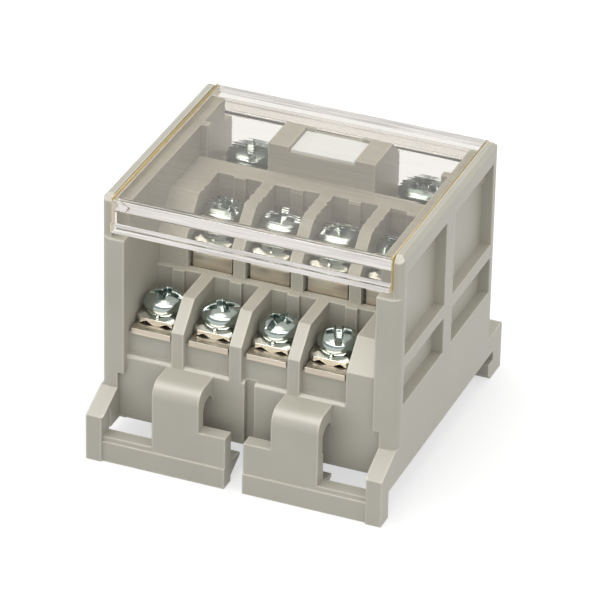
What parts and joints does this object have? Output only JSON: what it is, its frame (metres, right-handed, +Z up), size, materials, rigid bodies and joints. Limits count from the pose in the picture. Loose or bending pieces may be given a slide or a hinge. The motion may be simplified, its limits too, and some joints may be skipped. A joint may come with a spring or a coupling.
{
  "type": "barrier terminal block",
  "caption": "Tiered barrier terminal block with screw clamps, a lift-off clear cover, a blank marker card and spring latches for a top-hat rail.",
  "frame": {"origin": "middle of the footprint, at the level of the feet", "axes": "+X along the rail and the rows of terminals, +Y from the spring latches to the fixed hook, +Z up away from the rail"},
  "size_m": [0.039, 0.0416, 0.0346],
  "materials": {
    "housing_plastic": "satin moulded flame-retardant plastic, warm light grey",
    "clear_plastic": "clear polycarbonate, faintly yellow at the edges",
    "marker_card": "plain white card",
    "plated_brass": "tin-plated brass strip, slightly warm",
    "zinc_steel": "zinc-plated steel with a faint blue-green passivation",
    "washer_steel": "zinc-plated pressed steel"
  },
  "bodies": {
    "base": {"housing": "housing_plastic", "marker_card": "marker_card", "contact_bar_left": "plated_brass", "contact_bar_right": "plated_brass"},
    "cover": {"cover": "clear_plastic"},
    "washer_front_1": {"washer_front_1": "washer_steel"},
    "screw_front_1": {"screw_front_1": "zinc_steel"},
    "washer_front_2": {"washer_front_2": "washer_steel"},
    "screw_front_2": {"screw_front_2": "zinc_steel"},
    "washer_front_3": {"washer_front_3": "washer_steel"},
    "screw_front_3": {"screw_front_3": "zinc_steel"},
    "washer_front_4": {"washer_front_4": "washer_steel"},
    "screw_front_4": {"screw_front_4": "zinc_steel"},
    "washer_middle_1": {"washer_middle_1": "washer_steel"},
    "screw_middle_1": {"screw_middle_1": "zinc_steel"},
    "washer_middle_2": {"washer_middle_2": "washer_steel"},
    "screw_middle_2": {"screw_middle_2": "zinc_steel"},
    "washer_middle_3": {"washer_middle_3": "washer_steel"},
    "screw_middle_3": {"screw_middle_3": "zinc_steel"},
    "washer_middle_4": {"washer_middle_4": "washer_steel"},
    "screw_middle_4": {"screw_middle_4": "zinc_steel"},
    "washer_input_left": {"washer_input_left": "washer_steel"},
    "screw_input_left": {"screw_input_left": "zinc_steel"},
    "washer_input_right": {"washer_input_right": "washer_steel"},
    "screw_input_right": {"screw_input_right": "zinc_steel"}
  },
  "joints": [
    {"name": "cover_lift", "type": "slide", "parent": "base", "child": "cover", "axis": [0, 0, 1], "range_m": [0, 0.03]},
    {"name": "lift_front_1", "type": "slide", "parent": "base", "child": "washer_front_1", "axis": [0, 0, 1], "range_m": [0, 0.003]},
    {"name": "turn_front_1", "type": "hinge", "parent": "washer_front_1", "child": "screw_front_1", "pos_m": [-0.01333, -0.0107, 0.0164], "axis": [0, 0, 1], "range_deg": [0, 2160]},
    {"name": "lift_front_2", "type": "slide", "parent": "base", "child": "washer_front_2", "axis": [0, 0, 1], "range_m": [0, 0.003]},
    {"name": "turn_front_2", "type": "hinge", "parent": "washer_front_2", "child": "screw_front_2", "pos_m": [-0.00571, -0.0107, 0.0164], "axis": [0, 0, 1], "range_deg": [0, 2160]},
    {"name": "lift_front_3", "type": "slide", "parent": "base", "child": "washer_front_3", "axis": [0, 0, 1], "range_m": [0, 0.003]},
    {"name": "turn_front_3", "type": "hinge", "parent": "washer_front_3", "child": "screw_front_3", "pos_m": [0.00191, -0.0107, 0.0164], "axis": [0, 0, 1], "range_deg": [0, 2160]},
    {"name": "lift_front_4", "type": "slide", "parent": "base", "child": "washer_front_4", "axis": [0, 0, 1], "range_m": [0, 0.003]},
    {"name": "turn_front_4", "type": "hinge", "parent": "washer_front_4", "child": "screw_front_4", "pos_m": [0.00953, -0.0107, 0.0164], "axis": [0, 0, 1], "range_deg": [0, 2160]},
    {"name": "lift_middle_1", "type": "slide", "parent": "base", "child": "washer_middle_1", "axis": [0, 0, 1], "range_m": [0, 0.003]},
    {"name": "turn_middle_1", "type": "hinge", "parent": "washer_middle_1", "child": "screw_middle_1", "pos_m": [-0.00953, -0.0015, 0.02385], "axis": [0, 0, 1], "range_deg": [0, 2160]},
    {"name": "lift_middle_2", "type": "slide", "parent": "base", "child": "washer_middle_2", "axis": [0, 0, 1], "range_m": [0, 0.003]},
    {"name": "turn_middle_2", "type": "hinge", "parent": "washer_middle_2", "child": "screw_middle_2", "pos_m": [-0.00191, -0.0015, 0.02385], "axis": [0, 0, 1], "range_deg": [0, 2160]},
    {"name": "lift_middle_3", "type": "slide", "parent": "base", "child": "washer_middle_3", "axis": [0, 0, 1], "range_m": [0, 0.003]},
    {"name": "turn_middle_3", "type": "hinge", "parent": "washer_middle_3", "child": "screw_middle_3", "pos_m": [0.00571, -0.0015, 0.02385], "axis": [0, 0, 1], "range_deg": [0, 2160]},
    {"name": "lift_middle_4", "type": "slide", "parent": "base", "child": "washer_middle_4", "axis": [0, 0, 1], "range_m": [0, 0.003]},
    {"name": "turn_middle_4", "type": "hinge", "parent": "washer_middle_4", "child": "screw_middle_4", "pos_m": [0.01333, -0.0015, 0.02385], "axis": [0, 0, 1], "range_deg": [0, 2160]},
    {"name": "lift_input_left", "type": "slide", "parent": "base", "child": "washer_input_left", "axis": [0, 0, 1], "range_m": [0, 0.003]},
    {"name": "turn_input_left", "type": "hinge", "parent": "washer_input_left", "child": "screw_input_left", "pos_m": [-0.0115, 0.01173, 0.02475], "axis": [0, 0, 1], "range_deg": [0, 1800]},
    {"name": "lift_input_right", "type": "slide", "parent": "base", "child": "washer_input_right", "axis": [0, 0, 1], "range_m": [0, 0.003]},
    {"name": "turn_input_right", "type": "hinge", "parent": "washer_input_right", "child": "screw_input_right", "pos_m": [0.0115, 0.01173, 0.02475], "axis": [0, 0, 1], "range_deg": [0, 1800]}
  ],
  "couplings": [
    {"joint": "turn_front_1", "follows": "lift_front_1", "rad_per_m": 12566},
    {"joint": "turn_front_2", "follows": "lift_front_2", "rad_per_m": 12566},
    {"joint": "turn_front_3", "follows": "lift_front_3", "rad_per_m": 12566},
    {"joint": "turn_front_4", "follows": "lift_front_4", "rad_per_m": 12566},
    {"joint": "turn_middle_1", "follows": "lift_middle_1", "rad_per_m": 12566},
    {"joint": "turn_middle_2", "follows": "lift_middle_2", "rad_per_m": 12566},
    {"joint": "turn_middle_3", "follows": "lift_middle_3", "rad_per_m": 12566},
    {"joint": "turn_middle_4", "follows": "lift_middle_4", "rad_per_m": 12566},
    {"joint": "turn_input_left", "follows": "lift_input_left", "rad_per_m": 10472},
    {"joint": "turn_input_right", "follows": "lift_input_right", "rad_per_m": 10472}
  ]
}
